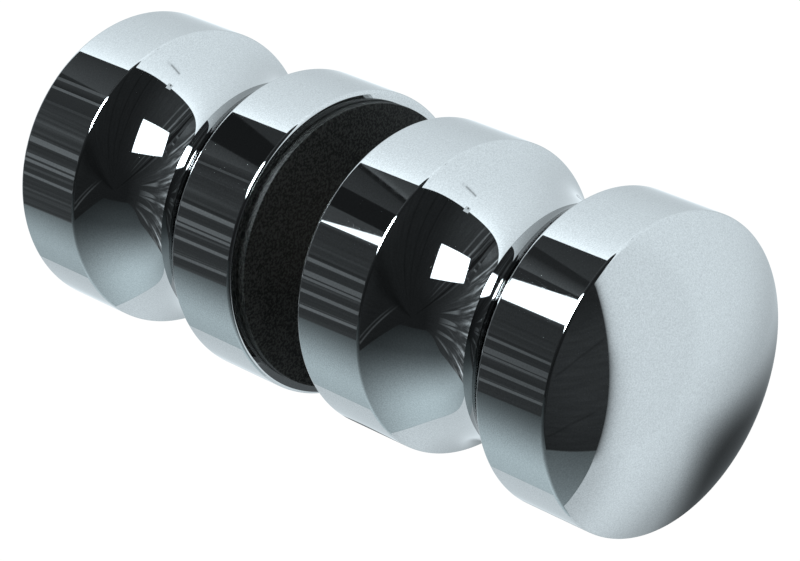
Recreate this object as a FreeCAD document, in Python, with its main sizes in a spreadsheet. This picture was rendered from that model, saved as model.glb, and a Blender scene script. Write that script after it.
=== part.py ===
import FreeCAD, Part
import os
import Sketcher

# Shower door handle: two turned brass knobs, back to back, that clamp a glass door between two gaskets.
# A threaded stud joins the knobs through the door's hole, and a bush keeps metal off the glass.
# Sizes are in millimetres. The origin is on the knobs' common axis, in the middle of the door's thickness.
# Y is that axis, the front knob is towards -Y, and Z is up.

SIZES = {
    "knob_diameter": 32.0,
    "band_width": 8.5,
    "waist_width": 16.0,
    "waist_depth": 3.5,
    "dome_height": 5.1,
    "edge_round": 0.4,
    "glass_thickness": 8.0,
    "gasket_thickness": 1.15,
    "gasket_margin": 0.65,
    "gasket_round": 0.5,
    "thread_diameter": 8.0,
    "thread_pitch": 1.25,
    "thread_engagement": 12.0,
    "thread_runout": 5.0,
    "thread_clearance": 0.03,
    "mouth_bevel": 0.2,
    "stud_bevel": 0.9,
    "bush_diameter": 12.0,
    "bush_bore_clearance": 0.15,
    "bush_seat_clearance": 0.15,
    "bush_end_clearance": 0.1,
    "bush_bevel": 0.4,
}

# An ISO thread's pitch diameter is this many pitches under its full diameter. The stud and the knobs'
# tapped holes are plain cylinders at that diameter, apart from the clearance between them.
PITCH_DEPTH = 0.6495

# Sizes that follow from the ones above, as formulas of the sheet.
DERIVED = {
    "knob_radius": "knob_diameter / 2",
    "barrel_length": "2 * band_width + waist_width",
    "face_distance": "glass_thickness / 2 + gasket_thickness",
    "gasket_radius": "knob_diameter / 2 - gasket_margin",
    "stud_radius": "(thread_diameter - {} * thread_pitch) / 2".format(PITCH_DEPTH),
    "stud_length": "glass_thickness + 2 * (gasket_thickness + thread_engagement)",
    "hole_radius": "stud_radius + thread_clearance",
    "hole_depth": "thread_engagement + thread_runout",
    "mouth_diameter": "thread_diameter + 2 * mouth_bevel",
    "bush_radius": "bush_diameter / 2",
    "bush_bore_radius": "thread_diameter / 2 + bush_bore_clearance",
    "bush_length": "glass_thickness + 2 * (gasket_thickness - bush_end_clearance)",
    "gasket_bore_radius": "bush_diameter / 2 + bush_seat_clearance",
}

# How far the waist's cutting profile reaches outside the bar.
TOOL_REACH = 2.0

# The angles of a twist drill's point and of the bevel at a tapped hole's mouth.
DRILL_POINT = 118.0
MOUTH_ANGLE = 90.0

# Two edges count as the same when they differ by less than this.
NEAR = 1e-4

# Turns that lay a body's own Z axis along the handle's axis.
TO_FRONT = FreeCAD.Rotation(FreeCAD.Vector(1, 0, 0), 90)
TO_BACK = FreeCAD.Rotation(FreeCAD.Vector(1, 0, 0), -90)

doc = FreeCAD.newDocument("shower_door_handle")


def make_sheet():
    """The spreadsheet: driving sizes as plain numbers, then the sizes that follow from them."""
    made = doc.addObject("Spreadsheet::Sheet", "Sizes")
    row = 1
    for name, value in SIZES.items():
        made.set("A{}".format(row), name)
        made.set("B{}".format(row), str(value))
        made.setAlias("B{}".format(row), name)
        row += 1
    for name, formula in DERIVED.items():
        made.set("A{}".format(row), name)
        made.set("B{}".format(row), "=" + formula)
        made.setAlias("B{}".format(row), name)
        row += 1
    doc.recompute()
    return made


def size(name):
    """A size's present value, for a sketch's first shape and for finding edges."""
    return float(getattr(sheet, name))


def new_body(label):
    body = doc.addObject("PartDesign::Body", label)
    body.Label = label
    return body


def place(body, turn, distance):
    """Turns the body onto the handle's axis, and moves it along Y by a formula of the sheet."""
    body.Placement = FreeCAD.Placement(FreeCAD.Vector(0, 0, 0), turn)
    body.setExpression("Placement.Base.y", distance)


def new_sketch(body, name, role):
    """An empty sketch on one of the body's own origin planes."""
    sketch = body.newObject("Sketcher::SketchObject", name)
    plane = [item for item in body.Origin.OriginFeatures if item.Role == role][0]
    sketch.AttachmentSupport = [(plane, "")]
    sketch.MapMode = "FlatFace"
    return sketch


def line(sketch, start, end):
    begin = FreeCAD.Vector(start[0], start[1], 0)
    finish = FreeCAD.Vector(end[0], end[1], 0)
    return sketch.addGeometry(Part.LineSegment(begin, finish), False)


def arc(sketch, start, middle, end):
    points = [FreeCAD.Vector(point[0], point[1], 0) for point in (start, middle, end)]
    return sketch.addGeometry(Part.Arc(*points), False)


def circle(sketch, name):
    """A circle about the sketch's origin, with the radius that the sheet has under that name."""
    shape = Part.Circle(FreeCAD.Vector(0, 0, 0), FreeCAD.Vector(0, 0, 1), size(name))
    index = sketch.addGeometry(shape, False)
    fix(sketch, "Coincident", index, 3, -1, 1)
    measure(sketch, ("Radius", index, size(name)), name)


def measure(sketch, terms, name):
    """A dimension bound to the sheet's size of that name."""
    index = sketch.addConstraint(Sketcher.Constraint(*terms))
    sketch.renameConstraint(index, name)
    sketch.setExpression("Constraints." + name, "Sizes." + name)


def fix(sketch, *terms):
    sketch.addConstraint(Sketcher.Constraint(*terms))


def round_edges(feature, radius, stations):
    """The names of a turned feature's edges that are circles of that radius at those heights."""
    names = []
    for number, edge in enumerate(feature.Shape.Edges, 1):
        if edge.Degenerated or not isinstance(edge.Curve, Part.Circle):
            continue
        if abs(edge.Curve.Radius - radius) > NEAR:
            continue
        if any(abs(edge.Curve.Center.z - station) < NEAR for station in stations):
            names.append("Edge{}".format(number))
    assert len(names) == len(stations), (feature.Name, stations, names)
    return names


def knob_blank(body):
    """The bar with its domed end: a straight barrel from the mounting face, under a cap of a sphere."""
    radius = size("knob_radius")
    length = size("barrel_length")
    height = size("dome_height")
    sphere = (radius**2 + height**2) / (2 * height)
    crown = length + height
    half = radius / 2
    shoulder = crown - sphere + (sphere**2 - half**2) ** 0.5

    sketch = new_sketch(body, body.Label + "_outline", "XZ_Plane")
    face = line(sketch, (0, 0), (radius, 0))
    barrel = line(sketch, (radius, 0), (radius, length))
    dome = arc(sketch, (radius, length), (half, shoulder), (0, crown))
    axis = line(sketch, (0, crown), (0, 0))
    fix(sketch, "Coincident", face, 1, -1, 1)
    fix(sketch, "Coincident", face, 2, barrel, 1)
    fix(sketch, "Coincident", barrel, 2, dome, 1)
    fix(sketch, "Coincident", dome, 2, axis, 1)
    fix(sketch, "Coincident", axis, 2, face, 1)
    fix(sketch, "Horizontal", face)
    fix(sketch, "Vertical", barrel)
    fix(sketch, "Vertical", axis)
    fix(sketch, "PointOnObject", dome, 3, -2)
    measure(sketch, ("DistanceX", face, 1, face, 2, radius), "knob_radius")
    measure(sketch, ("DistanceY", barrel, 1, barrel, 2, length), "barrel_length")
    measure(sketch, ("DistanceY", barrel, 2, axis, 1, height), "dome_height")

    blank = body.newObject("PartDesign::Revolution", body.Label + "_blank")
    blank.Profile = sketch
    blank.ReferenceAxis = (sketch, ["V_Axis"])
    blank.Angle = 360
    doc.recompute()
    return blank


def knob_waist(body):
    """The finger waist: one circular arc turned out of the barrel between its two bands."""
    radius = size("knob_radius")
    start = size("band_width")
    width = size("waist_width")
    depth = size("waist_depth")
    end = start + width
    middle = start + width / 2
    outside = radius + TOOL_REACH

    sketch = new_sketch(body, body.Label + "_waist_outline", "XZ_Plane")
    hollow = arc(sketch, (radius, start), (radius - depth, middle), (radius, end))
    upper = line(sketch, (radius, end), (outside, end))
    back = line(sketch, (outside, end), (outside, start))
    lower = line(sketch, (outside, start), (radius, start))
    chord = line(sketch, (radius, start), (radius, end))
    spoke = line(sketch, (radius - depth, middle), (radius, middle))
    sketch.setConstruction(chord, True)
    sketch.setConstruction(spoke, True)
    low, high = (1, 2) if sketch.getPoint(hollow, 1).y < middle else (2, 1)
    fix(sketch, "Coincident", hollow, high, upper, 1)
    fix(sketch, "Coincident", upper, 2, back, 1)
    fix(sketch, "Coincident", back, 2, lower, 1)
    fix(sketch, "Coincident", lower, 2, hollow, low)
    fix(sketch, "Coincident", chord, 1, hollow, low)
    fix(sketch, "Coincident", chord, 2, hollow, high)
    fix(sketch, "Horizontal", upper)
    fix(sketch, "Horizontal", lower)
    fix(sketch, "Vertical", back)
    fix(sketch, "Vertical", chord)
    fix(sketch, "Horizontal", spoke)
    fix(sketch, "PointOnObject", spoke, 1, hollow)
    fix(sketch, "Symmetric", chord, 1, chord, 2, spoke, 2)
    measure(sketch, ("DistanceX", -1, 1, chord, 1, radius), "knob_radius")
    measure(sketch, ("DistanceY", -1, 1, chord, 1, start), "band_width")
    measure(sketch, ("DistanceY", chord, 1, chord, 2, width), "waist_width")
    measure(sketch, ("DistanceX", spoke, 1, spoke, 2, depth), "waist_depth")
    fix(sketch, "DistanceX", upper, 1, upper, 2, TOOL_REACH)

    waist = body.newObject("PartDesign::Groove", body.Label + "_waist")
    waist.Profile = sketch
    waist.ReferenceAxis = (sketch, ["V_Axis"])
    waist.Angle = 360
    doc.recompute()
    return waist


def knob_edges(body, waist):
    """The small rounds on the mounting face's edge, the waist's two lips and the dome's rim."""
    start = size("band_width")
    stations = [0, start, start + size("waist_width"), size("barrel_length")]
    rounds = body.newObject("PartDesign::Fillet", body.Label + "_rounds")
    rounds.Base = (waist, round_edges(waist, size("knob_radius"), stations))
    rounds.setExpression("Radius", "Sizes.edge_round")
    doc.recompute()


def knob_hole(body):
    """The blind hole for the stud, drilled from the mounting face, with a bevelled mouth."""
    sketch = new_sketch(body, body.Label + "_hole_centre", "XY_Plane")
    circle(sketch, "hole_radius")
    doc.recompute()
    hole = body.newObject("PartDesign::Hole", body.Label + "_stud_hole")
    hole.Profile = sketch
    hole.Reversed = True
    hole.ThreadType = "None"
    hole.DepthType = "Dimension"
    hole.DrillPoint = "Angled"
    hole.DrillPointAngle = DRILL_POINT
    hole.HoleCutType = "Countersink"
    hole.HoleCutCountersinkAngle = MOUTH_ANGLE
    hole.setExpression("Diameter", "2 * Sizes.hole_radius")
    hole.setExpression("Depth", "Sizes.hole_depth")
    hole.setExpression("HoleCutDiameter", "Sizes.mouth_diameter")
    doc.recompute()


def make_knob(label, turn, distance):
    """One knob, turned in one piece. Its own Z axis runs from its mounting face to its dome."""
    body = new_body(label)
    blank = knob_blank(body)
    bar_volume = blank.Shape.Volume
    waist = knob_waist(body)
    waist_volume = waist.Shape.Volume
    assert waist_volume < bar_volume, label + ": the waist cuts nothing"
    knob_edges(body, waist)
    knob_hole(body)
    assert body.Shape.Volume < waist_volume, label + ": the hole cuts nothing"
    place(body, turn, distance)
    return body


def make_ring(label, outer, bore, length):
    """A body with a round hole through it, padded from its base along its own Z axis."""
    body = new_body(label)
    sketch = new_sketch(body, label + "_outline", "XY_Plane")
    circle(sketch, outer)
    circle(sketch, bore)
    pad = body.newObject("PartDesign::Pad", label + "_ring")
    pad.Profile = sketch
    pad.setExpression("Length", "Sizes." + length)
    doc.recompute()
    return body, pad


def make_gasket(label, turn, distance):
    """A rubber washer that covers the knob's face but for a thin margin, rounded where it meets the glass."""
    body, pad = make_ring(label, "gasket_radius", "gasket_bore_radius", "gasket_thickness")
    rounding = body.newObject("PartDesign::Fillet", label + "_round")
    rounding.Base = (pad, round_edges(pad, size("gasket_radius"), [size("gasket_thickness")]))
    rounding.setExpression("Radius", "Sizes.gasket_round")
    doc.recompute()
    place(body, turn, distance)
    return body


def make_bush(label):
    """The sleeve round the stud, which fills the holes in the glass and in both gaskets."""
    body, pad = make_ring(label, "bush_radius", "bush_bore_radius", "bush_length")
    bevel = body.newObject("PartDesign::Chamfer", label + "_bevels")
    bevel.Base = (pad, round_edges(pad, size("bush_radius"), [0, size("bush_length")]))
    bevel.setExpression("Size", "Sizes.bush_bevel")
    doc.recompute()
    place(body, TO_FRONT, "Sizes.bush_length / 2")
    return body


def make_stud(label):
    """The stud that both knobs screw onto, bevelled at its two ends."""
    body = new_body(label)
    sketch = new_sketch(body, label + "_outline", "XY_Plane")
    circle(sketch, "stud_radius")
    pad = body.newObject("PartDesign::Pad", label + "_rod")
    pad.Profile = sketch
    pad.setExpression("Length", "Sizes.stud_length")
    doc.recompute()
    bevel = body.newObject("PartDesign::Chamfer", label + "_bevels")
    bevel.Base = (pad, round_edges(pad, size("stud_radius"), [0, size("stud_length")]))
    bevel.setExpression("Size", "Sizes.stud_bevel")
    doc.recompute()
    place(body, TO_FRONT, "Sizes.stud_length / 2")
    return body


def check(bodies):
    """Stops the run if anything in the document failed, or a body isn't one sound solid."""
    for item in doc.Objects:
        bad = [state for state in item.State if state in ("Invalid", "Error")]
        assert not bad, (item.Name, bad)
    for body in bodies:
        shape = body.Shape
        assert not shape.isNull() and shape.isValid(), body.Label
        assert len(shape.Solids) == 1, body.Label


sheet = make_sheet()
bodies = [
    make_knob("front_knob", TO_FRONT, "-Sizes.face_distance"),
    make_knob("back_knob", TO_BACK, "Sizes.face_distance"),
    make_gasket("front_gasket", TO_BACK, "-Sizes.face_distance"),
    make_gasket("back_gasket", TO_FRONT, "Sizes.face_distance"),
    make_bush("glass_bush"),
    make_stud("threaded_stud"),
]
doc.recompute()
check(bodies)

os.makedirs("parts", exist_ok=True)
for body in bodies:
    body.Shape.exportStep("parts/{}.step".format(body.Label))
    box = body.Shape.BoundBox
    print(
        "{}: {:.1f} mm3, y {:.3f} to {:.3f}, width {:.3f}".format(
            body.Label, body.Shape.Volume, box.YMin, box.YMax, box.XLength
        )
    )
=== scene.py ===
from math import atan2, ceil, cos, pi, radians, sin, sqrt, tan

import bpy
from mathutils import Matrix, Vector


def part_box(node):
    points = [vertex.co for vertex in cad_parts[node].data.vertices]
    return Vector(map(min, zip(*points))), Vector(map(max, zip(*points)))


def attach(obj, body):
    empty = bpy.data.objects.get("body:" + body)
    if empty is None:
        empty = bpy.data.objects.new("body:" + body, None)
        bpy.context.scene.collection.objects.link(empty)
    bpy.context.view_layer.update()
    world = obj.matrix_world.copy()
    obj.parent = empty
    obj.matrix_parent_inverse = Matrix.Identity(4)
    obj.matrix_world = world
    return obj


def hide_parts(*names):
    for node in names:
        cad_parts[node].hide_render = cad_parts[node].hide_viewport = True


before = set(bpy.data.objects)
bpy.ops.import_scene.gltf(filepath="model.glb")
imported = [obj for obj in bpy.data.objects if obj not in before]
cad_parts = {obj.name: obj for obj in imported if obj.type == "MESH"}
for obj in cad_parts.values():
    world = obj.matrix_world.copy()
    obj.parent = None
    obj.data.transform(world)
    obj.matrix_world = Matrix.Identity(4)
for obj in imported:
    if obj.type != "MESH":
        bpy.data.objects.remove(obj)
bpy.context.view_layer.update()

# Shower door handle: two turned and chromed knobs back to back, two black rubber gaskets,
# a white bush for the door's hole and the threaded stud that joins the knobs.
# Y is the handle's axis, the front knob is towards -Y and Z is up. Outlines are in millimetres.

MM = 0.001

# The knob's sizes, as in the CAD model. The drill point is its full angle in degrees.
EDGE_ROUND = 0.4
WAIST_WIDTH = 16.0
WAIST_DEPTH = 3.5
DOME_HEIGHT = 5.1
HOLE_DEPTH = 17.0
MOUTH_RADIUS = 4.2
DRILL_POINT = 118.0

# The rim round its mounting face, which stands a little proud, as in the photograph.
RIM_WIDTH = 1.0
RIM_RISE = 0.18
RIM_ROUND = 0.35

# The M8 thread. Its holes are wider by the clearance, and it fades over a length at its ends.
THREAD_ROOT = 3.233
THREAD_CREST = 4.0
THREAD_PITCH = 1.25
THREAD_CLEARANCE = 0.045
THREAD_FADE = 0.8
# Where in half a pitch the thread leaves its root and where it reaches its crest.
THREAD_FLANK = (0.25, 0.875)
STUD_BEVEL = 0.9

# The gaskets and the bush. The gaskets end this much inside the solids, and have a nearly sharp
# edge, as in the photograph. The bores are radii.
GASKET_TRIM = 0.42
GASKET_ROUND = 0.1
GASKET_BORE = 6.15
BUSH_BEVEL = 0.4
BUSH_BORE = 4.15

# How finely the turned parts are divided: round the axis, in each curve of the outline and in
# each pitch of the thread.
KNOB_SEGMENTS = 192
SMALL_SEGMENTS = 96
EDGE_STEPS = 5
RIM_STEPS = 6
WAIST_STEPS = 112
DOME_STEPS = 48
GASKET_STEPS = 8
ROWS_A_PITCH = 8
SHARP_EDGE = radians(30)
# A point this close to where a round begins keeps the flat beside it truly flat in the mirror.
GUARD = 0.03
# Points of the turned grid closer than this are one point, at its seam and at its poles.
SEAM_GAP = 0.002
# Added before a row's number is rounded down, so that the first point of a row stays in it.
ROW_NUDGE = 0.0001


def size_of(node):
    """A node's outer radius, and its two ends along Y, in millimetres."""
    low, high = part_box(node)
    return (high.x - low.x) / 2 / MM, low.y / MM, high.y / MM


# The outlines. Each point is a radius, a place along the axis and the share of the thread there.

def arc_points(centre, radius, start, end, count):
    """Points along an arc of an outline, both ends included. Angles are in radians from the radius."""
    points = []
    for step in range(count + 1):
        angle = start + (end - start) * step / count
        points.append((centre[0] + radius * cos(angle), centre[1] + radius * sin(angle), 0.0))
    return points


def thread_rows(radius, start, end):
    """Rows close enough to carry a thread, which fades in and out at the two ends."""
    count = ceil(abs(end - start) / THREAD_PITCH * ROWS_A_PITCH)
    rows = []
    for step in range(count + 1):
        share = step / count
        from_end = min(share, 1 - share) * abs(end - start)
        rows.append((radius, start + (end - start) * share, min(1.0, from_end / THREAD_FADE)))
    return rows


def knob_outline(radius, length):
    """A knob from its drilled hole's tip out to the top of its dome. Zero is the mounting face."""
    barrel = length - DOME_HEIGHT
    corner = radius - EDGE_ROUND
    middle = barrel / 2
    bore = THREAD_ROOT + THREAD_CLEARANCE
    points = [(0.0, HOLE_DEPTH + bore / tan(radians(DRILL_POINT / 2)), 0.0)]
    points += thread_rows(bore, HOLE_DEPTH, MOUTH_RADIUS - bore)
    points += [(MOUTH_RADIUS, 0.0, 0.0), (radius - RIM_WIDTH, 0.0, 0.0)]
    points += [(radius - RIM_WIDTH, -RIM_RISE, 0.0), (radius - RIM_ROUND - GUARD, -RIM_RISE, 0.0)]
    points += arc_points((radius - RIM_ROUND, RIM_ROUND - RIM_RISE), RIM_ROUND, -pi / 2, 0,
                         RIM_STEPS)
    points += waist_points(radius, corner, middle)
    points += dome_points(radius, corner, barrel)
    return points


def waist_points(radius, corner, middle):
    """The hollow waist, its two rounded lips and the points that keep the bands beside it flat."""
    hollow = ((WAIST_WIDTH / 2) ** 2 + WAIST_DEPTH ** 2) / (2 * WAIST_DEPTH)
    hollow_centre = radius - WAIST_DEPTH + hollow
    reach = sqrt((hollow + EDGE_ROUND) ** 2 - (hollow_centre - corner) ** 2)
    turn = atan2(reach, hollow_centre - corner)
    nudge = GUARD / hollow
    near, far = middle - reach, middle + reach
    points = [(radius, RIM_ROUND - RIM_RISE + GUARD, 0.0), (radius, near - GUARD, 0.0)]
    points += arc_points((corner, near), EDGE_ROUND, 0, turn, EDGE_STEPS)
    points += arc_points((hollow_centre, middle), hollow, pi + turn - nudge, pi - turn + nudge,
                         WAIST_STEPS)
    points += arc_points((corner, far), EDGE_ROUND, -turn, 0, EDGE_STEPS)
    points.append((radius, far + GUARD, 0.0))
    return points


def dome_points(radius, corner, barrel):
    """The end of the outer band, the rounded rim and the dome up to its top."""
    ball = (radius ** 2 + DOME_HEIGHT ** 2) / (2 * DOME_HEIGHT)
    ball_centre = barrel + DOME_HEIGHT - ball
    rise = sqrt((ball - EDGE_ROUND) ** 2 - corner ** 2)
    rim = atan2(rise, corner)
    points = [(radius, ball_centre + rise - GUARD, 0.0)]
    points += arc_points((corner, ball_centre + rise), EDGE_ROUND, 0, rim, EDGE_STEPS)
    points += arc_points((0.0, ball_centre), ball, rim + GUARD / ball, pi / 2, DOME_STEPS)
    return points


def gasket_outline(radius, thickness):
    """A flat ring from its bore, with the glass side's outer edge rounded. Zero is the knob's side."""
    corner = radius - GASKET_ROUND
    shoulder = thickness - GASKET_ROUND
    points = [(GASKET_BORE, 0.0, 0.0), (radius, 0.0, 0.0), (radius, shoulder - GUARD, 0.0)]
    points += arc_points((corner, shoulder), GASKET_ROUND, 0, pi / 2, GASKET_STEPS)
    points += [(corner - GUARD, thickness, 0.0), (GASKET_BORE, thickness, 0.0)]
    return points + [points[0]]


def bush_outline(radius, half):
    """A tube with bevelled outer edges."""
    points = [(BUSH_BORE, -half, 0.0), (radius - BUSH_BEVEL, -half, 0.0)]
    points += [(radius, -half + BUSH_BEVEL, 0.0), (radius, half - BUSH_BEVEL, 0.0)]
    points += [(radius - BUSH_BEVEL, half, 0.0), (BUSH_BORE, half, 0.0)]
    return points + [points[0]]


def stud_outline(half):
    """A bevelled rod that is threaded from end to end."""
    points = [(0.0, -half, 0.0), (THREAD_CREST - STUD_BEVEL, -half, 0.0)]
    points += thread_rows(THREAD_ROOT, THREAD_ROOT - THREAD_CREST + STUD_BEVEL - half,
                          half + THREAD_CREST - THREAD_ROOT - STUD_BEVEL)
    points += [(THREAD_CREST - STUD_BEVEL, half, 0.0), (0.0, half, 0.0)]
    return points


def along(outline, start, way):
    """Lays an outline along Y from start, towards -Y or +Y, in the order that turns faces outwards."""
    placed = [(radius, start + way * place, thread) for radius, place, thread in outline]
    return placed if way > 0 else placed[::-1]


# Node trees.

class Field:
    """A number or vector that varies over a surface: an output of a node tree, with arithmetic."""

    def __init__(self, tree, socket):
        self.tree = tree
        self.socket = socket

    def node(self, kind, operation, values, output=0):
        """A new node that works on these values, and its output."""
        made = self.tree.nodes.new(kind)
        made.operation = operation
        for socket, value in zip(made.inputs, values):
            feed(self.tree, socket, value)
        return Field(self.tree, made.outputs[output])

    def math(self, operation, *others):
        """This number worked on with others."""
        return self.node("ShaderNodeMath", operation, (self,) + others)

    def vector(self, operation, *others, output=0):
        """This vector worked on with others. Output 1 is a number, such as a length."""
        return self.node("ShaderNodeVectorMath", operation, (self,) + others, output)

    def __add__(self, other):
        return self.math("ADD", other)

    def __sub__(self, other):
        return self.math("SUBTRACT", other)

    def __mul__(self, other):
        return self.math("MULTIPLY", other)

    def __truediv__(self, other):
        return self.math("DIVIDE", other)

    def towards(self, other, share):
        """This value where share is 0, and the other where it is 1."""
        return self + share * (self * -1 + other)

    def step(self, start, end, low=0.0, high=1.0, kind="SMOOTHSTEP"):
        """Goes from low to high as the value goes from start to end."""
        made = self.tree.nodes.new("ShaderNodeMapRange")
        made.interpolation_type = kind
        for socket, value in zip(made.inputs, (self, start, end, low, high)):
            feed(self.tree, socket, value)
        return Field(self.tree, made.outputs[0])

    def hump(self, centre, reach):
        """1 at the centre, falling smoothly to 0 at the reach on either side."""
        return (self - centre).math("ABSOLUTE").step(reach, 0.0)

    def parts(self):
        """The X, Y and Z of a vector."""
        made = self.tree.nodes.new("ShaderNodeSeparateXYZ")
        feed(self.tree, made.inputs[0], self)
        return [Field(self.tree, output) for output in made.outputs]


def feed(tree, socket, value):
    """Links a field to a socket, or sets the socket's own value."""
    if isinstance(value, Field):
        tree.links.new(value.socket, socket)
    else:
        socket.default_value = value


# Turning the pieces.

def turning_tree():
    """The tree that turns an outline about Y, cuts its thread and sets its sharp edges and finish."""
    tree = bpy.data.node_groups.new("turning", "GeometryNodeTree")
    outer = tree.interface
    outer.new_socket("Outline", in_out="INPUT", socket_type="NodeSocketGeometry")
    outer.new_socket("Segments", in_out="INPUT", socket_type="NodeSocketInt")
    outer.new_socket("Thread height", in_out="INPUT", socket_type="NodeSocketFloat")
    outer.new_socket("Thread pitch", in_out="INPUT", socket_type="NodeSocketFloat")
    outer.new_socket("Sharp angle", in_out="INPUT", socket_type="NodeSocketFloat")
    outer.new_socket("Finish", in_out="INPUT", socket_type="NodeSocketMaterial")
    outer.new_socket("Piece", in_out="OUTPUT", socket_type="NodeSocketGeometry")
    given = tree.nodes.new("NodeGroupInput")
    inputs = {socket.name: Field(tree, socket) for socket in given.outputs if socket.name}

    columns = inputs["Segments"] + 1
    grid = turning_grid(tree, inputs["Outline"], columns)
    index = Field(tree, tree.nodes.new("GeometryNodeInputIndex").outputs[0])
    row = (index / columns + ROW_NUDGE).math("FLOOR")
    turn = (index - row * columns) / inputs["Segments"]
    place = sampled(tree, inputs["Outline"], row, "FLOAT_VECTOR", "GeometryNodeInputPosition")
    share = sampled(tree, inputs["Outline"], row, "FLOAT", "GeometryNodeInputNamedAttribute")

    radius, length, unused = place.parts()
    phase = (length / inputs["Thread pitch"] + turn).math("FRACT")
    crest = ((phase - 0.5).math("ABSOLUTE") * 2).step(*THREAD_FLANK, kind="LINEAR")
    radius = radius + crest * share * inputs["Thread height"]

    spot = tree.nodes.new("ShaderNodeCombineXYZ")
    angle = turn * (2 * pi)
    feed(tree, spot.inputs["X"], radius * angle.math("SINE") * -1)
    feed(tree, spot.inputs["Y"], length)
    feed(tree, spot.inputs["Z"], radius * angle.math("COSINE"))

    moved = tree.nodes.new("GeometryNodeSetPosition")
    feed(tree, moved.inputs["Geometry"], grid)
    feed(tree, moved.inputs["Position"], Field(tree, spot.outputs[0]))
    closed = tree.nodes.new("GeometryNodeMergeByDistance")
    tree.links.new(moved.outputs[0], closed.inputs["Geometry"])
    closed.inputs["Distance"].default_value = SEAM_GAP * MM
    finish_tree(tree, closed, inputs)
    return tree


def turning_grid(tree, outline, columns):
    """One row of vertices for each of the outline's points."""
    count = tree.nodes.new("GeometryNodeAttributeDomainSize")
    feed(tree, count.inputs[0], outline)
    grid = tree.nodes.new("GeometryNodeMeshGrid")
    tree.links.new(count.outputs["Point Count"], grid.inputs["Vertices X"])
    feed(tree, grid.inputs["Vertices Y"], columns)
    return Field(tree, grid.outputs["Mesh"])


def sampled(tree, outline, row, kind, source):
    """What the outline has at that row: its place, or its share of the thread."""
    value = tree.nodes.new(source)
    if source == "GeometryNodeInputNamedAttribute":
        value.data_type = kind
        value.inputs["Name"].default_value = "thread"
    node = tree.nodes.new("GeometryNodeSampleIndex")
    node.data_type = kind
    feed(tree, node.inputs["Geometry"], outline)
    tree.links.new(value.outputs[0], node.inputs["Value"])
    feed(tree, node.inputs["Index"], row)
    return Field(tree, node.outputs[0])


def finish_tree(tree, closed, inputs):
    """Smooth faces, sharp edges where the outline turns sharply, and the piece's finish."""
    smooth = tree.nodes.new("GeometryNodeSetShadeSmooth")
    smooth.domain = "FACE"
    tree.links.new(closed.outputs[0], smooth.inputs["Geometry"])
    bend = tree.nodes.new("GeometryNodeInputMeshEdgeAngle")
    soft = Field(tree, bend.outputs["Unsigned Angle"]).math("LESS_THAN", inputs["Sharp angle"])
    edges = tree.nodes.new("GeometryNodeSetShadeSmooth")
    edges.domain = "EDGE"
    tree.links.new(smooth.outputs[0], edges.inputs["Geometry"])
    feed(tree, edges.inputs["Shade Smooth"], soft)
    real = tree.nodes.new("GeometryNodeRealizeInstances")
    tree.links.new(edges.outputs[0], real.inputs[0])
    painted = tree.nodes.new("GeometryNodeSetMaterial")
    tree.links.new(real.outputs[0], painted.inputs["Geometry"])
    feed(tree, painted.inputs["Material"], inputs["Finish"])
    out = tree.nodes.new("NodeGroupOutput")
    tree.links.new(painted.outputs[0], out.inputs["Piece"])


def turn_piece(name, outline, segments, finish):
    """Turns an outline into a plain mesh, and makes it the piece that stands for the CAD node."""
    line = bpy.data.meshes.new(name)
    line.from_pydata([(radius * MM, place * MM, 0) for radius, place, share in outline], [], [])
    shares = line.attributes.new("thread", "FLOAT", "POINT")
    shares.data.foreach_set("value", [share for radius, place, share in outline])
    piece = bpy.data.objects.new(name + "_turned", line)
    bpy.context.scene.collection.objects.link(piece)
    modifier = piece.modifiers.new("turning", "NODES")
    modifier.node_group = TURNING
    settings = {
        "Segments": segments,
        "Thread height": (THREAD_CREST - THREAD_ROOT) * MM,
        "Thread pitch": THREAD_PITCH * MM,
        "Sharp angle": SHARP_EDGE,
        "Finish": finish,
    }
    for socket in TURNING.interface.items_tree:
        if socket.name in settings:
            modifier[socket.identifier] = settings[socket.name]
    graph = bpy.context.evaluated_depsgraph_get()
    mesh = bpy.data.meshes.new_from_object(piece.evaluated_get(graph), depsgraph=graph)
    piece.modifiers.remove(modifier)
    piece.data = mesh
    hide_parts(name)
    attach(piece, "root")
    return piece


# The finishes. A colour goes from the first to the second as its noise rises between the limits.
# Noise scales are in grains a metre, and grain heights in metres.

CHROME_COLOURS = (0.455, 0.462, 0.463), (0.592, 0.600, 0.601)
CHROME_GRAIN = 7000
CHROME_GRAIN_LIMITS = (0.3, 0.7)
CHROME_EDGE_TINT = (0.68, 0.68, 0.68, 1)
CHROME_CLOUD = 900
CHROME_ROUGHNESS = (0.3, 0.7, 0.012, 0.03)

RUBBER_COLOURS = (0.0002, 0.0004, 0.0003), (0.021, 0.0235, 0.022)
RUBBER_GRAIN = 3800
RUBBER_GRAIN_LIMITS = (0.42, 0.60)
RUBBER_ROUGHNESS = (0.3, 0.7, 0.46, 0.60)
RUBBER_GLOSS = 0.18
RUBBER_GRAIN_HEIGHT = 0.00006

NYLON_COLOURS = (0.74, 0.73, 0.69), (0.82, 0.81, 0.77)
NYLON_CLOUD = 500
NYLON_ROUGHNESS = (0.3, 0.7, 0.38, 0.5)
NYLON_GRAIN = 2500
NYLON_GRAIN_HEIGHT = 0.00002

ZINC_COLOURS = (0.46, 0.47, 0.49), (0.62, 0.63, 0.64)
ZINC_CLOUD = 800
ZINC_ROUGHNESS = (0.3, 0.7, 0.25, 0.42)


def new_finish(name):
    """A material with one plain shader, its tree and its place on the piece."""
    material = bpy.data.materials.new(name)
    material.use_nodes = True
    tree = material.node_tree
    shader = tree.nodes["Principled BSDF"]
    place = Field(tree, tree.nodes.new("ShaderNodeTexCoord").outputs["Object"])
    return material, tree, shader, place


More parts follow.
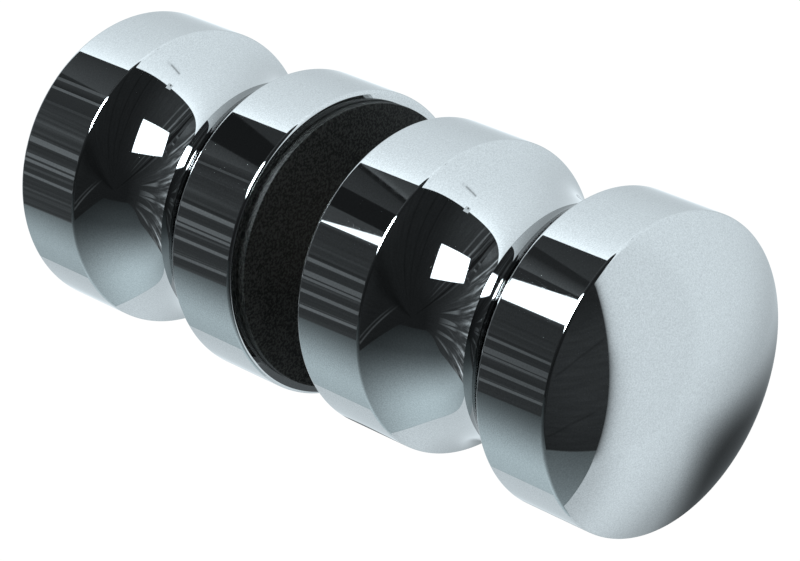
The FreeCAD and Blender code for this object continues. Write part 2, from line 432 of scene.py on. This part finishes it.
def noise(tree, place, scale, detail=2.0, roughness=0.5):
    """Noise with grains about 1 / scale apart."""
    node = tree.nodes.new("ShaderNodeTexNoise")
    feed(tree, node.inputs["Vector"], place)
    node.inputs["Scale"].default_value = scale
    node.inputs["Detail"].default_value = detail
    node.inputs["Roughness"].default_value = roughness
    return Field(tree, node.outputs[0])


def tint(tree, share, low, high):
    """A colour between two, by a share."""
    node = tree.nodes.new("ShaderNodeMix")
    node.data_type = "RGBA"
    feed(tree, node.inputs["Factor"], share)
    node.inputs["A"].default_value = (*low, 1)
    node.inputs["B"].default_value = (*high, 1)
    return Field(tree, node.outputs["Result"])


def bump(tree, shader, height, distance):
    """Raises the surface by a height field, in metres."""
    node = tree.nodes.new("ShaderNodeBump")
    node.inputs["Distance"].default_value = distance
    feed(tree, node.inputs["Height"], height)
    tree.links.new(node.outputs[0], shader.inputs["Normal"])


def polished_chrome():
    """Bright chrome plate: a cool grey mirror with a very fine grain."""
    material, tree, shader, place = new_finish("polished_chrome")
    grain = noise(tree, place, CHROME_GRAIN, detail=2.0, roughness=0.6)
    grain = grain.step(*CHROME_GRAIN_LIMITS, kind="LINEAR")
    feed(tree, shader.inputs["Base Color"], tint(tree, grain, *CHROME_COLOURS))
    shader.inputs["Metallic"].default_value = 1.0
    shader.inputs["Specular Tint"].default_value = CHROME_EDGE_TINT
    feed(tree, shader.inputs["Roughness"], noise(tree, place, CHROME_CLOUD).step(*CHROME_ROUGHNESS))
    return material


def black_rubber():
    """Moulded black rubber with a fine grainy skin."""
    material, tree, shader, place = new_finish("black_rubber")
    grain = noise(tree, place, RUBBER_GRAIN, detail=2.0, roughness=0.6)
    colour = tint(tree, grain.step(*RUBBER_GRAIN_LIMITS), *RUBBER_COLOURS)
    feed(tree, shader.inputs["Base Color"], colour)
    feed(tree, shader.inputs["Roughness"], grain.step(*RUBBER_ROUGHNESS))
    shader.inputs["Specular IOR Level"].default_value = RUBBER_GLOSS
    bump(tree, shader, grain, RUBBER_GRAIN_HEIGHT)
    return material


def white_nylon():
    """Natural white nylon, slightly waxy."""
    material, tree, shader, place = new_finish("white_nylon")
    cloud = noise(tree, place, NYLON_CLOUD, detail=3.0)
    feed(tree, shader.inputs["Base Color"], tint(tree, cloud, *NYLON_COLOURS))
    feed(tree, shader.inputs["Roughness"], cloud.step(*NYLON_ROUGHNESS))
    bump(tree, shader, noise(tree, place, NYLON_GRAIN), NYLON_GRAIN_HEIGHT)
    return material


def zinc_steel():
    """Zinc-plated steel with the dull, cloudy look of barrel plating."""
    material, tree, shader, place = new_finish("zinc_steel")
    cloud = noise(tree, place, ZINC_CLOUD, detail=4.0, roughness=0.6)
    feed(tree, shader.inputs["Base Color"], tint(tree, cloud, *ZINC_COLOURS))
    shader.inputs["Metallic"].default_value = 1.0
    feed(tree, shader.inputs["Roughness"], cloud.step(*ZINC_ROUGHNESS))
    return material


# The studio round the handle, seen only in the chrome.
# A spot on the surround is an angle round the handle's axis, 0 straight up and 90 towards -X,
# and an angle towards the front, 90 straight along -Y. The dark side of the studio is built of
# long things that run along X, so its folds go by their roll about that axis, 0 straight up
# and 90 towards +Y, and by how far they spread from -X. All are in degrees. Where a value has a
# start and an end, it changes smoothly from one to the other, so the order gives the direction.

SURROUND_RADIUS = 1.65
SURROUND_SEGMENTS = 64
SURROUND_RINGS = 32
PAPER_COLOUR = (1.123, 1.256, 1.333)
FLOOR_COLOUR = (1.012, 1.233, 1.323)

# The window. Its light rises from the edge inwards, in degrees.
WINDOW_CORNERS = ((31.4, -0.1), (29.3, -35.8), (50.9, -43.2), (57.9, -5.3))
WINDOW_LIGHT = 42.0
WINDOW_EDGE_LIGHT = 2.0
WINDOW_RISE = (0.4, 3.0)
WINDOW_SHARPNESS = (-0.08, 0.08)

# The pale paper on the +X side. Its light, what it gains beside the top, for each how far that
# reaches, and where along the axis that gain weakens and to what.
PAPER_BEGINS = (0.12, 0.32)
PAPER_LIGHT = 0.985
PAPER_GLOWS = ((10, 0.42), (30, 0.12))
PAPER_GLOW_ALONG = (15, -30, 0.6, 1.0)
# High in front it is a little dimmer, begins a little sooner and has a dark edge, whose reach
# goes from the first to the second on the way round from the bottom to the top.
PAPER_HIGH = (46, 54)
PAPER_HIGH_LIGHT = 0.94
PAPER_HIGH_SHIFT = 0.3
PAPER_EDGE_REACH = (3.2, 1.65)
PAPER_EDGE_DARK = 0.82
# It is dimmer straight below, and more so to the front, and meets the floor in a dim line.
PAPER_LOW = (202, 180)
PAPER_LOW_DARK = 0.10
PAPER_LOW_FRONT = (-5, 25)
PAPER_LOW_FRONT_DARK = 0.22
JOINT_WIDTH = 0.5
JOINT_ENDS = ((150, 170), (210, 190))
JOINT_DARK = 0.12
# The soft shadow low on it: a dark core that leans, and a wide skirt. For each, its centre,
# its reach both ways and how dark it is.
SHADOW_CORE = ((231.5, -15), (12, 42), 0.83)
SHADOW_CORE_LEAN = 0.09
SHADOW_CORE_SOFTNESS = (1.3, 0.35)
SHADOW_SKIRT = ((229, 4), (20, 27), 0.64)
# Two thin marks on it: the ends, half width and how dark.
PAPER_MARKS = (((345.4, 11.5), (346.7, -1.0), 1.2, 0.50), ((345.0, 16.0), (346.7, -1.0), 2.6, 0.14))
# A small pale tile with a dark spot, at the edge of the paper: corners, light and edges.
TILE = ((357.3, 0.4), (2.0, 0.2), (1.4, -5.2), (357.0, -4.8))
TILE_LIGHT = 0.82
TILE_EDGE = (-0.15, 0.15)
TILE_SPOT = ((358.6, -1.5), (359.0, -3.2), (357.4, -3.2), (357.2, -1.7))
TILE_SPOT_LIGHT = 0.10
TILE_SPOT_EDGE = (-0.3, 0.3)

# The grey floor lies between these rolls. Towards -X its near edge comes up by the rise.
FLOOR_EDGES = (120.0, 233.5)
FLOOR_NEAR_RISE = 9
FLOOR_NEAR_SPREAD = (45, 22)
FLOOR_EDGE_WIDTH = 0.4
# The floor ends at the far wall, at this angle round the handle.
FLOOR_FAR_END = 97.2
FLOOR_FAR_WIDTH = 0.6
# Its light: what it has everywhere, what it gains on the way to the paper, and how that falls
# off along the axis.
FLOOR_LIGHT = 0.03
FLOOR_GAIN = (114, 164, 0.61)
FLOOR_FAR_GAIN = (98, 120, 0.06)
FLOOR_MIDDLE = -22
FLOOR_REACH = 55.5
FLOOR_PEAK = 1.11

# What stands behind, in four tiers. For each tier, its upper and lower end towards the back, and
# its boards: where each starts at the two ends, and its light where it starts and where it ends.
BOARDS = (
    (-36.3, -40.2, ((0, 0, 0.041, 0.052), (27.6, 0.8, 0.023, 0.026), (29.4, 10.1, 0.028, 0.106),
                    (34.7, 24.5, 0.030, 0.050))),
    (-40.2, -43.6, ((0, 0, 0.058, 0.080), (25, -13, 0.080, 0.150), (29, -9, 0.010, 0.022),
                    (33, -5, 0.037, 0.052), (31.7, 19.3, 0.014, 0.014), (45, 36.2, 0.062, 0.072))),
    (-43.6, -46.7, ((0, 0, 0.040, 0.040), (23, -14, 0.013, 0.014), (36.8, 22.2, 0.049, 0.076),
                    (38, 38, 0.055, 0.032), (44.2, 44.2, 0.090, 0.090), (46, 46, 0.033, 0.052))),
    (-46.7, -51.0, ((0, 0, 0.042, 0.085), (31.2, 14, 0.032, 0.028), (26, 26, 0.125, 0.125),
                    (28.4, 28.4, 0.050, 0.026), (34, 34, 0.160, 0.160), (36, 36, 0.042, 0.038),
                    (46, 46, 0.062, 0.062), (48, 48, 0.043, 0.055))),
)
BOARDS_END = 52.6
BOARD_EDGE = 0.12
TIER_EDGE = 0.1

# The dark cloth's own light, what it gains with the spread, more so from two rolls on, and what
# it gains to the front.
CLOTH_LIGHT = 0.015
CLOTH_SPREAD = (15, 80)
CLOTH_GAIN = 0.004
CLOTH_ROLL_GAINS = ((-20, 25, 0.030), (50, 70, 0.026))
CLOTH_FRONT_GAIN = (35, 79, 0.0215)
# A dim stretch of the ceiling, the dark slot between two of the folds, and three dark seams in
# the ceiling: roll, half width and how dark.
CLOTH_SHADES = ((-68, 16, 0.38), (47.6, 2.3, 0.6),
                (-38.0, 1.6, 0.25), (-27.0, 1.3, 0.25), (-17.0, 1.2, 0.25))
# The folds' rolls are those at this spread. From these rolls on, they lean by the slant.
FOLD_SPREAD = 44
FOLD_SLANT = 0.21
FOLD_SLANT_BEGINS = (50, 62)
# Pale folds: roll, half width and light. They grow up to FOLD_SPREAD and more slowly beyond it.
CLOTH_FOLDS = ((28.0, 1.5, 0.045), (36.0, 2.0, 0.085), (43.2, 1.4, 0.045), (51.6, 2.0, 0.030))
FOLDS_BEGIN = 20
FOLDS_GROW = (76, 1.2)
# The folds and the streaks fade in between these rolls.
PLEATS_BEGIN = (15, 25)
# Below them lie flat strips: the roll where each starts, how far that leans, the roll where it
# ends, how far that leans, and how pale it is, less than 0 for dark. They lean with the spread
# from FOLD_SPREAD on.
CLOTH_STRIPS = (
    (67.2, 0.20, 68.3, 0.25, 0.10), (72.6, 0.20, 74.0, 0.20, 0.10), (74.3, 0.20, 75.9, 0.20, -0.08),
    (76.7, 0.20, 79.6, 0.35, 1.00), (80.8, 0.35, 82.0, 0.35, -0.05), (86.9, 0.44, 90.5, 0.20, 1.00),
    (91.7, 0.24, 93.7, 0.25, 1.00), (94.8, 0.50, 96.2, 0.50, 0.25), (101.0, 0.18, 103.5, 0.05, 1.00),
    (110.0, 0.30, 110.6, 0.30, 0.30), (111.2, 0.30, 113.0, 0.25, 1.00),
)
STRIP_EDGE = 0.3
# They fade out this far beyond FOLD_SPREAD. With the spread their light rises from nothing.
STRIPS_END = (12, 3)
STRIPS_LIGHT = (29, 60, 0.0, 0.235)
# Further out lie curved streaks: roll less the slant, half width, light, and the spread at which
# each begins, give or take the softness. With the spread they grow by the last two factors.
CLOTH_STREAKS = (
    (57.0, 1.3, 0.080, 66), (67.0, 1.7, 0.075, 52), (75.7, 1.0, 0.105, 52), (79.0, 1.2, 0.075, 52),
    (86.8, 1.6, 0.095, 52), (92.6, 1.1, 0.100, 52), (101.5, 1.3, 0.090, 52), (109.5, 1.1, 0.100, 52),
)
STREAK_SOFTNESS = 6
STREAKS_GROW = (54, 80, 0.6, 6.4)
# The cloth's fine wisps: their scale across and along the folds, detail and roughness. They break
# up the cloth and the folds: between two values of the noise, the factor goes from the third
# number to the fourth. Where they are strongest they show as fine fibres between the streaks.
WISP_SCALE = (0.55, 0.07)
WISP_DETAIL = 3.0
WISP_ROUGHNESS = 0.62
WISPS_ON_CLOTH = (0.3, 0.7, 0.86, 1.14)
WISPS_ON_FOLDS = (0.32, 0.62, 0.35, 1.35)
FIBRES = (0.42, 0.70)
FIBRE_LIGHT = 0.030
FIBRES_ROLL = (53, 62)
FIBRES_SPREAD = (47, 58)

# Thin dark seams in front: their ends, half width and how dark.
FRONT_SEAMS = (((104.2, 68.1), (85.4, 78.6), 0.8, 0.24), ((85.4, 78.6), (3.9, 84.1), 0.8, 0.24),
               ((145.5, 53.9), (152.4, 62.1), 0.8, 0.24), ((152.4, 62.1), (167.7, 68.6), 0.8, 0.24))
# Two pale rails low in front: their ends, half width and light, and how softly they end.
RAILS = (((83, 14), (121, 40), 1.0, 0.060), ((84, 18), (119, 42), 0.9, 0.035))
RAIL_START_SOFTNESS = 14
RAIL_END_SOFTNESS = (5, 1)
# How far past a stroke's ends it fades, as shares of its half length.
STROKE_FADE = (1.15, 0.85)

# A small dark card close below the gap, in place of the shadow that the gap's faces mirror there.
# Its spot and radius are in metres.
CARD_SPOT = (0.001, -0.002, -0.0175)
CARD_RADIUS = 0.0074
CARD_SOFT_FROM = 0.85
CARD_LIGHT = 0.115
CARD_SIDES = 32

# The white floor below, which the camera sees, and the light from all round.
FLOOR_DEPTH = 0.45
FLOOR_WIDTH = 12.0
FLOOR_WHITE = (0.9, 0.9, 0.9, 1)
FLOOR_GLOW = 0.12
AMBIENT = 1.0


def heading(around, front):
    """The direction of a spot on the surround."""
    around, front = radians(around), radians(front)
    return Vector((-sin(around) * cos(front), -sin(front), cos(around) * cos(front)))


def beside(direction, start, end, inner=None):
    """How many degrees a direction lies to one side of the straight line through two spots."""
    side = heading(*start).cross(heading(*end)).normalized()
    if inner is not None and side.dot(inner) < 0:
        side = -side
    return direction.vector("DOT_PRODUCT", tuple(side), output=1).math("ARCSINE").math("DEGREES")


def stroke(direction, start, end, width):
    """1 along the straight line between two spots, falling to 0 at the width on either side."""
    run = heading(*end) - heading(*start)
    half = 1 - heading(*start).dot(heading(*end))
    place = direction.vector("DOT_PRODUCT", tuple(run), output=1).math("ABSOLUTE")
    ahead = direction.vector("DOT_PRODUCT", tuple(heading(*start) + heading(*end)), output=1)
    fade_end, fade_start = STROKE_FADE
    near = place.step(half * fade_end, half * fade_start) * ahead.math("GREATER_THAN", 0.0)
    return beside(direction, start, end).hump(0, width) * near


def inside(direction, corners, start, end):
    """Rises from 0 to 1 between start and end, in degrees inwards from the sides of a flat panel."""
    middle = sum((heading(*corner) for corner in corners), Vector())
    share = None
    for corner, following in zip(corners, corners[1:] + corners[:1]):
        side = beside(direction, corner, following, middle).step(start, end)
        share = side if share is None else share * side
    return share


def elliptic(across, up, centre, radii):
    """The squared distance from a centre, where an ellipse with these radii is 1."""
    across = (across - centre[0]) / radii[0]
    up = (up - centre[1]) / radii[1]
    return across * across + up * up


def surround_light(tree, direction):
    """How bright the studio is in each direction, and how much of that is floor."""
    x, y, z = direction.parts()
    around = (x * -1).math("ARCTAN2", z).math("DEGREES").math("FLOORED_MODULO", 360)
    front = (y * -1).math("ARCSINE").math("DEGREES")
    aside = x.math("ARCSINE").math("DEGREES")
    roll = y.math("ARCTAN2", z).math("DEGREES")
    spread = aside + 90
    on_floor = below_the_wall(roll.math("FLOORED_MODULO", 360), around, spread)
    cloth = dark_cloth(tree, direction, around, front, roll, spread)
    cloth = boards_behind(around, front, cloth)
    on_paper = (aside + front.step(*PAPER_HIGH) * PAPER_HIGH_SHIFT).step(*PAPER_BEGINS)
    light = cloth.towards(grey_floor(around, front), on_floor)
    light = light.towards(pale_sweep(around, front, aside), on_paper)
    light = light * (joint_line(around, aside) * -JOINT_DARK + 1)
    light = marks_and_tile(direction, light)
    in_window = inside(direction, WINDOW_CORNERS, *WINDOW_SHARPNESS)
    return light.towards(window_light(direction), in_window), on_floor * (on_paper * -1 + 1)


def window_light(direction):
    """The window's light, which rises from its edges inwards."""
    middle = inside(direction, WINDOW_CORNERS, *WINDOW_RISE)
    return middle * (WINDOW_LIGHT - WINDOW_EDGE_LIGHT) + WINDOW_EDGE_LIGHT


def joint_line(around, aside):
    """1 along the line in which the paper meets the floor."""
    first, last = JOINT_ENDS
    return aside.hump(0, JOINT_WIDTH) * around.step(*first) * around.step(*last)


def marks_and_tile(direction, light):
    """The light with the thin marks and the small tile on the paper laid over."""
    for start, end, width, strength in PAPER_MARKS:
        light = light * (stroke(direction, start, end, width) * -strength + 1)
    light = light.towards(TILE_LIGHT, inside(direction, TILE, *TILE_EDGE))
    return light.towards(TILE_SPOT_LIGHT, inside(direction, TILE_SPOT, *TILE_SPOT_EDGE))


def pale_sweep(around, front, aside):
    """The pale paper on the +X side, brightest beside the top, with the soft shadow below."""
    below = around - 360
    glow, wide_glow = [(below / reach).math("EXPONENT") * gain for reach, gain in PAPER_GLOWS]
    bright = (glow + wide_glow) * front.step(*PAPER_GLOW_ALONG) + PAPER_LIGHT
    high = front.step(*PAPER_HIGH)
    bright = bright.towards(PAPER_HIGH_LIGHT, high)
    dark = front.step(*PAPER_LOW_FRONT) * -PAPER_LOW_FRONT_DARK - PAPER_LOW_DARK
    low = around.step(*PAPER_LOW) * dark + 1
    reach = (around - 180).math("ABSOLUTE").step(0, 180, *PAPER_EDGE_REACH, "LINEAR")
    edge = (aside.math("MAXIMUM", 0.0) / reach * -1).math("EXPONENT") * -PAPER_EDGE_DARK + 1
    return bright * low.towards(edge, high) * soft_shadow(around, front)


def soft_shadow(around, front):
    """The shadow low on the paper: 1 where there is none."""
    centre, radii, dark = SHADOW_CORE
    core = elliptic(around + front * SHADOW_CORE_LEAN, front, centre, radii).math("SQRT")
    core = core.step(*SHADOW_CORE_SOFTNESS) * -dark + 1
    centre, radii, dark = SHADOW_SKIRT
    skirt = (elliptic(around, front, centre, radii) * -1).math("EXPONENT") * -dark + 1
    return core * skirt


def below_the_wall(roll, around, spread):
    """1 on the floor, 0 on the cloth and the wall round it."""
    near, far = FLOOR_EDGES
    near = spread.step(*FLOOR_NEAR_SPREAD) * -FLOOR_NEAR_RISE + near
    across = (roll - near).step(-FLOOR_EDGE_WIDTH, FLOOR_EDGE_WIDTH)
    across = across * roll.step(far + FLOOR_EDGE_WIDTH, far - FLOOR_EDGE_WIDTH)
    return across * around.step(FLOOR_FAR_END - FLOOR_FAR_WIDTH, FLOOR_FAR_END + FLOOR_FAR_WIDTH)


def grey_floor(around, front):
    """The floor under the dark side: it brightens towards the paper and dims to the front."""
    start, end, gain = FLOOR_GAIN
    light = around.step(start, end) * gain
    start, end, gain = FLOOR_FAR_GAIN
    light = light + around.step(start, end, kind="LINEAR") * gain + FLOOR_LIGHT
    away = (front - FLOOR_MIDDLE) / FLOOR_REACH
    return light * (away * away * -1).math("EXPONENT") * FLOOR_PEAK


def boards_behind(around, front, cloth):
    """The cloth's light with the boards that stand behind it laid over."""
    light = cloth
    for top, bottom, boards in BOARDS:
        low = front.step(top, bottom, kind="LINEAR")
        tier = cloth
        starts = [low * (board[1] - board[0]) + board[0] for board in boards] + [BOARDS_END]
        for start, end, board in zip(starts, starts[1:], boards):
            across = around.step(start, end, board[2], board[3], "LINEAR")
            tier = tier.towards(across, (around - start).step(-BOARD_EDGE, BOARD_EDGE))
        tier = tier.towards(cloth, (around - BOARDS_END).step(-BOARD_EDGE, BOARD_EDGE))
        here = front.step(top + TIER_EDGE, top - TIER_EDGE)
        here = here * front.step(bottom - TIER_EDGE, bottom + TIER_EDGE)
        light = light.towards(tier, here)
    return light


def dark_cloth(tree, direction, around, front, roll, spread):
    """Black cloth with pale folds behind, a dark ceiling with seams and two pale rails in front."""
    first, second = [roll.step(start, end) * gain for start, end, gain in CLOTH_ROLL_GAINS]
    start, end, gain = CLOTH_FRONT_GAIN
    light = spread.step(*CLOTH_SPREAD, kind="LINEAR") * (first + second + CLOTH_GAIN)
    light = light + front.step(start, end) * gain + CLOTH_LIGHT
    slant = roll - (spread - FOLD_SPREAD) * FOLD_SLANT * roll.step(*FOLD_SLANT_BEGINS)
    wisps = cloth_wisps(tree, slant, spread)
    light = light * wisps.step(*WISPS_ON_CLOTH, "LINEAR")
    light = light + cloth_pleats(wisps, roll, slant, spread)
    for start, end, width, strength in FRONT_SEAMS:
        light = light * (stroke(direction, start, end, width) * -strength + 1)
    for place, width, strength in CLOTH_SHADES:
        light = light * (roll.hump(place, width) * -strength + 1)
    for start, end, width, strength in RAILS:
        fade_start, fade_end = RAIL_END_SOFTNESS
        span = around.step(start[0], start[0] + RAIL_START_SOFTNESS)
        span = span * around.step(end[0] + fade_start, end[0] + fade_end)
        light = light + beside(direction, start, end).hump(0, width) * span * strength
    return light


def cloth_wisps(tree, slant, spread):
    """Noise drawn out along the folds."""
    across, along_folds = WISP_SCALE
    weave = tree.nodes.new("ShaderNodeCombineXYZ")
    feed(tree, weave.inputs["X"], slant * across)
    feed(tree, weave.inputs["Y"], spread * along_folds)
    return noise(tree, Field(tree, weave.outputs[0]), 1.0, WISP_DETAIL, WISP_ROUGHNESS)


def cloth_pleats(wisps, roll, slant, spread):
    """What the fibres, streaks, folds and strips add to the cloth's light."""
    pleats = wisps.step(*FIBRES) * FIBRE_LIGHT * slant.step(*FIBRES_ROLL) * spread.step(*FIBRES_SPREAD)
    for place, width, strength, begin in CLOTH_STREAKS:
        grown = spread.step(begin - STREAK_SOFTNESS, begin + STREAK_SOFTNESS)
        pleats = pleats + slant.hump(place, width) * strength * grown
    pleats = pleats * spread.step(*STREAKS_GROW)
    end, gain = FOLDS_GROW
    grown = spread.step(FOLDS_BEGIN, FOLD_SPREAD, kind="LINEAR")
    grown = grown + spread.step(FOLD_SPREAD, end, 0.0, gain, "LINEAR")
    for place, width, strength in CLOTH_FOLDS:
        pleats = pleats + slant.hump(place, width) * strength * grown
    pleats = pleats * wisps.step(*WISPS_ON_FOLDS, "LINEAR") * roll.step(*PLEATS_BEGIN)
    strips = cloth_strips(roll, spread - FOLD_SPREAD)
    return pleats + strips * spread.step(*STRIPS_LIGHT, "LINEAR")


def cloth_strips(roll, beyond):
    """The flat strips of the cloth, which end where the streaks begin."""
    strips = None
    for start, start_lean, end, end_lean, strength in CLOTH_STRIPS:
        first = (roll - beyond * start_lean).step(start - STRIP_EDGE, start + STRIP_EDGE)
        last = (roll - beyond * end_lean).step(end + STRIP_EDGE, end - STRIP_EDGE)
        strip = first * last * strength
        strips = strip if strips is None else strips + strip
    return strips * beyond.step(*STRIPS_END)


def emission(tree, strength, colour=(1, 1, 1)):
    """A shader that gives off light of a colour."""
    node = tree.nodes.new("ShaderNodeEmission")
    node.inputs["Color"].default_value = (*colour, 1)
    feed(tree, node.inputs["Strength"], strength)
    return node


def empty_material(name):
    """A material with no shader yet, and its tree."""
    material = bpy.data.materials.new(name)
    material.use_nodes = True
    material.node_tree.nodes.clear()
    return material, material.node_tree


def end_material(tree, shader):
    """Makes a shader node the material's surface."""
    out = tree.nodes.new("ShaderNodeOutputMaterial")
    tree.links.new(shader.outputs[0], out.inputs[0])


def flat_piece(name, corners):
    """One flat face of the studio, by its corners."""
    mesh = bpy.data.meshes.new(name)
    mesh.from_pydata(corners, [], [tuple(range(len(corners)))])
    piece = bpy.data.objects.new(name, mesh)
    bpy.context.scene.collection.objects.link(piece)
    return piece


def hide_but_in_mirrors(piece):
    """Leaves a part of the studio to glossy rays alone."""
    piece.visible_camera = False
    piece.visible_diffuse = False
    piece.visible_shadow = False
    piece.visible_transmission = False
    piece.visible_volume_scatter = False


def make_surround():
    """A big ball round the handle that carries the studio's light for the chrome to mirror."""
    bpy.ops.mesh.primitive_uv_sphere_add(segments=SURROUND_SEGMENTS, ring_count=SURROUND_RINGS,
                                         radius=SURROUND_RADIUS)
    ball = bpy.context.object
    ball.name = "studio_surround"
    hide_but_in_mirrors(ball)
    material, tree = empty_material("studio_light")
    material.cycles.emission_sampling = "NONE"
    place = Field(tree, tree.nodes.new("ShaderNodeTexCoord").outputs["Object"])
    strength, floor_share = surround_light(tree, place.vector("NORMALIZE"))
    light = emission(tree, strength)
    feed(tree, light.inputs["Color"], tint(tree, floor_share, PAPER_COLOUR, FLOOR_COLOUR))
    end_material(tree, light)
    ball.data.materials.append(material)


def make_painted_shadow_card():
    """The small dark card close below the gap, with a soft edge: a painted shadow that only the chrome
    mirrors.
    """
    x, y, z = CARD_SPOT
    turns = [2 * pi * step / CARD_SIDES for step in range(CARD_SIDES)]
    card = flat_piece("near_shadow", [(x + CARD_RADIUS * cos(turn), y + CARD_RADIUS * sin(turn), z)
                                      for turn in turns])
    hide_but_in_mirrors(card)
    material, tree = empty_material("near_shadow")
    place = Field(tree, tree.nodes.new("ShaderNodeTexCoord").outputs["Object"])
    away = place.vector("DISTANCE", CARD_SPOT, output=1)
    both = tree.nodes.new("ShaderNodeMixShader")
    feed(tree, both.inputs[0], away.step(CARD_RADIUS, CARD_RADIUS * CARD_SOFT_FROM))
    tree.links.new(tree.nodes.new("ShaderNodeBsdfTransparent").outputs[0], both.inputs[1])
    tree.links.new(emission(tree, CARD_LIGHT, PAPER_COLOUR).outputs[0], both.inputs[2])
    end_material(tree, both)
    card.data.materials.append(material)


def make_floor():
    """A white floor well below the handle."""
    half = FLOOR_WIDTH / 2
    corners = [(-half, -half), (half, -half), (half, half), (-half, half)]
    floor = flat_piece("studio_floor", [(x, y, -FLOOR_DEPTH) for x, y in corners])
    floor.visible_glossy = False
    material, tree = empty_material("white_paper")
    paper = tree.nodes.new("ShaderNodeBsdfDiffuse")
    paper.inputs["Color"].default_value = FLOOR_WHITE
    seen = Field(tree, tree.nodes.new("ShaderNodeLightPath").outputs["Is Camera Ray"])
    glow = emission(tree, seen * FLOOR_GLOW)
    both = tree.nodes.new("ShaderNodeAddShader")
    tree.links.new(paper.outputs[0], both.inputs[0])
    tree.links.new(glow.outputs[0], both.inputs[1])
    end_material(tree, both)
    floor.data.materials.append(material)


def light_world():
    """White behind everything for camera, mirror and glass rays, and a plain even light otherwise."""
    world = bpy.data.worlds.new("studio_white")
    bpy.context.scene.world = world
    world.use_nodes = True
    tree = world.node_tree
    path = tree.nodes.new("ShaderNodeLightPath")
    camera, mirror, glass = [Field(tree, path.outputs["Is " + kind + " Ray"])
                             for kind in ("Camera", "Glossy", "Transmission")]
    seen = camera.math("MAXIMUM", mirror).math("MAXIMUM", glass)
    feed(tree, tree.nodes["Background"].inputs["Strength"], seen.step(0, 1, AMBIENT, 1.0, "LINEAR"))
    tree.nodes["Background"].inputs["Color"].default_value = (1, 1, 1, 1)


# The camera. Angles are in degrees, the lens and the film in millimetres, the rest in metres.

CAMERA_AZIMUTH = -43.23
CAMERA_ELEVATION = 23.611
CAMERA_DISTANCE = 0.34025
CAMERA_AIM = (0.00062, -0.00183, -0.00207)
CAMERA_LENS = 153.18
CAMERA_FILM = 36


def set_camera():
    """The photograph's view: a long lens, level, from the front left and above."""
    data = bpy.data.cameras.new("camera")
    data.lens = CAMERA_LENS
    data.sensor_width = CAMERA_FILM
    camera = bpy.data.objects.new("camera", data)
    bpy.context.scene.collection.objects.link(camera)
    azimuth, elevation = radians(CAMERA_AZIMUTH), radians(CAMERA_ELEVATION)
    back = Vector((sin(azimuth) * cos(elevation), -cos(azimuth) * cos(elevation), sin(elevation)))
    right = Vector((cos(azimuth), sin(azimuth), 0))
    up = back.cross(right)
    turn = Matrix((right, up, back)).transposed().to_4x4()
    camera.matrix_world = Matrix.Translation(Vector(CAMERA_AIM) + back * CAMERA_DISTANCE) @ turn
    bpy.context.scene.camera = camera
    bpy.context.scene.view_settings.view_transform = "Standard"


# The handle's pieces. Each takes its size and place from its CAD node.

def make_knob(node, way):
    """One knob, with its dome towards -Y or +Y."""
    radius, low, high = size_of(node)
    face = high if way < 0 else low
    outline = along(knob_outline(radius, high - low), face, way)
    turn_piece(node, outline, KNOB_SEGMENTS, CHROME)


def make_gasket(node, way):
    """One gasket, with its glass side towards -Y or +Y."""
    radius, low, high = size_of(node)
    face = low if way > 0 else high
    outline = along(gasket_outline(radius - GASKET_TRIM, high - low), face, way)
    turn_piece(node, outline, KNOB_SEGMENTS, RUBBER)


def make_bush(node):
    """The bush in the door's hole."""
    radius, low, high = size_of(node)
    turn_piece(node, bush_outline(radius, high), SMALL_SEGMENTS, NYLON)


def make_stud(node):
    """The stud that joins the knobs."""
    radius, low, high = size_of(node)
    turn_piece(node, stud_outline(high), SMALL_SEGMENTS, ZINC)


set_camera()
light_world()
make_surround()
make_painted_shadow_card()
make_floor()

TURNING = turning_tree()
CHROME = polished_chrome()
RUBBER = black_rubber()
NYLON = white_nylon()
ZINC = zinc_steel()

make_knob("front_knob", -1)
make_knob("back_knob", 1)
make_gasket("front_gasket", 1)
make_gasket("back_gasket", -1)
make_bush("glass_bush")
make_stud("threaded_stud")
